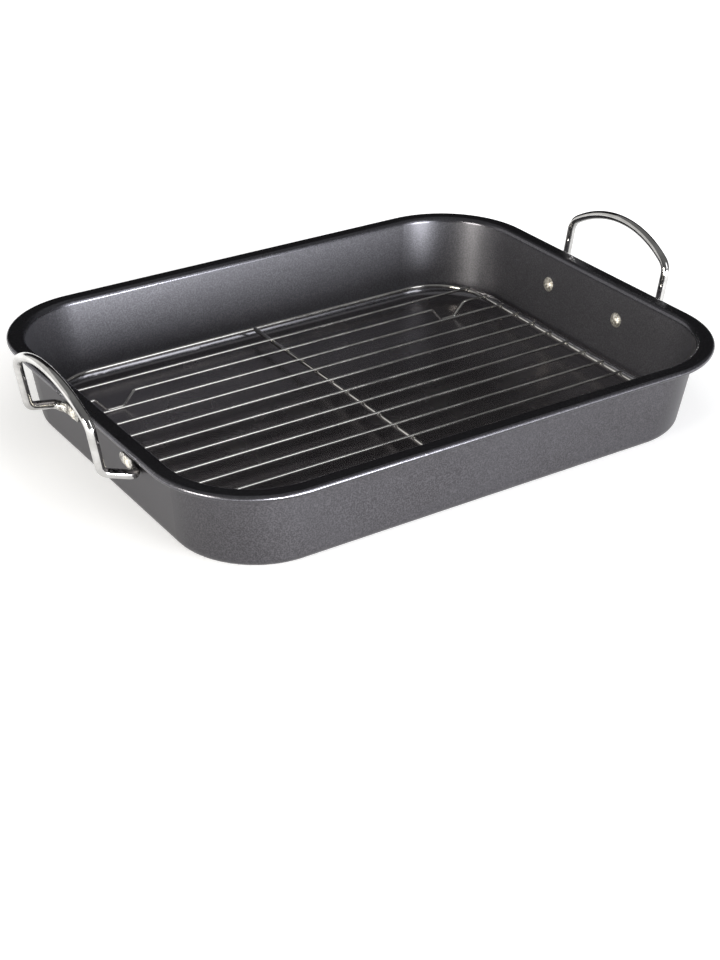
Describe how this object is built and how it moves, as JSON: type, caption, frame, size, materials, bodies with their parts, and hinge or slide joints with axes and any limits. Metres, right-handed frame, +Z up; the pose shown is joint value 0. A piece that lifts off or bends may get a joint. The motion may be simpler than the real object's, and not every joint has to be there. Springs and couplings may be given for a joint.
{
  "type": "roasting pan with rack",
  "caption": "Deep rectangular non-stick roasting pan with rounded corners, a rolled rim, upright wire handles riveted to its ends and a lift-out wire rack.",
  "frame": {"origin": "under the middle of the pan, on the surface that it stands on", "axes": "+X along the length towards the right handle, +Y across the width towards the back, +Z up"},
  "size_m": [0.41, 0.2896, 0.0852],
  "materials": {
    "nonstick_steel": "dark grey non-stick coating with a fine metallic speckle, satin outside and glossier inside",
    "chromed_rod": "bright chrome on a bent steel rod",
    "chromed_wire": "bright chrome on welded steel wire",
    "rivet_metal": "satin"
  },
  "bodies": {
    "pan": {"pan_body": "nonstick_steel", "right_handle": "chromed_rod", "left_handle": "chromed_rod", "right_rear_rivet": "rivet_metal", "right_front_rivet": "rivet_metal", "left_rear_rivet": "rivet_metal", "left_front_rivet": "rivet_metal"},
    "rack": {"rack_frame": "chromed_wire", "rack_cross_wire": "chromed_wire", "rack_long_wire_01": "chromed_wire", "rack_foot_wire_02": "chromed_wire", "rack_long_wire_03": "chromed_wire", "rack_long_wire_04": "chromed_wire", "rack_long_wire_05": "chromed_wire", "rack_long_wire_06": "chromed_wire", "rack_long_wire_07": "chromed_wire", "rack_long_wire_08": "chromed_wire", "rack_long_wire_09": "chromed_wire", "rack_long_wire_10": "chromed_wire", "rack_foot_wire_11": "chromed_wire", "rack_long_wire_12": "chromed_wire"}
  },
  "joints": [
    {"name": "rack_lift", "type": "slide", "parent": "pan", "child": "rack", "axis": [0, 0, 1], "range_m": [0, 0.12]}
  ]
}
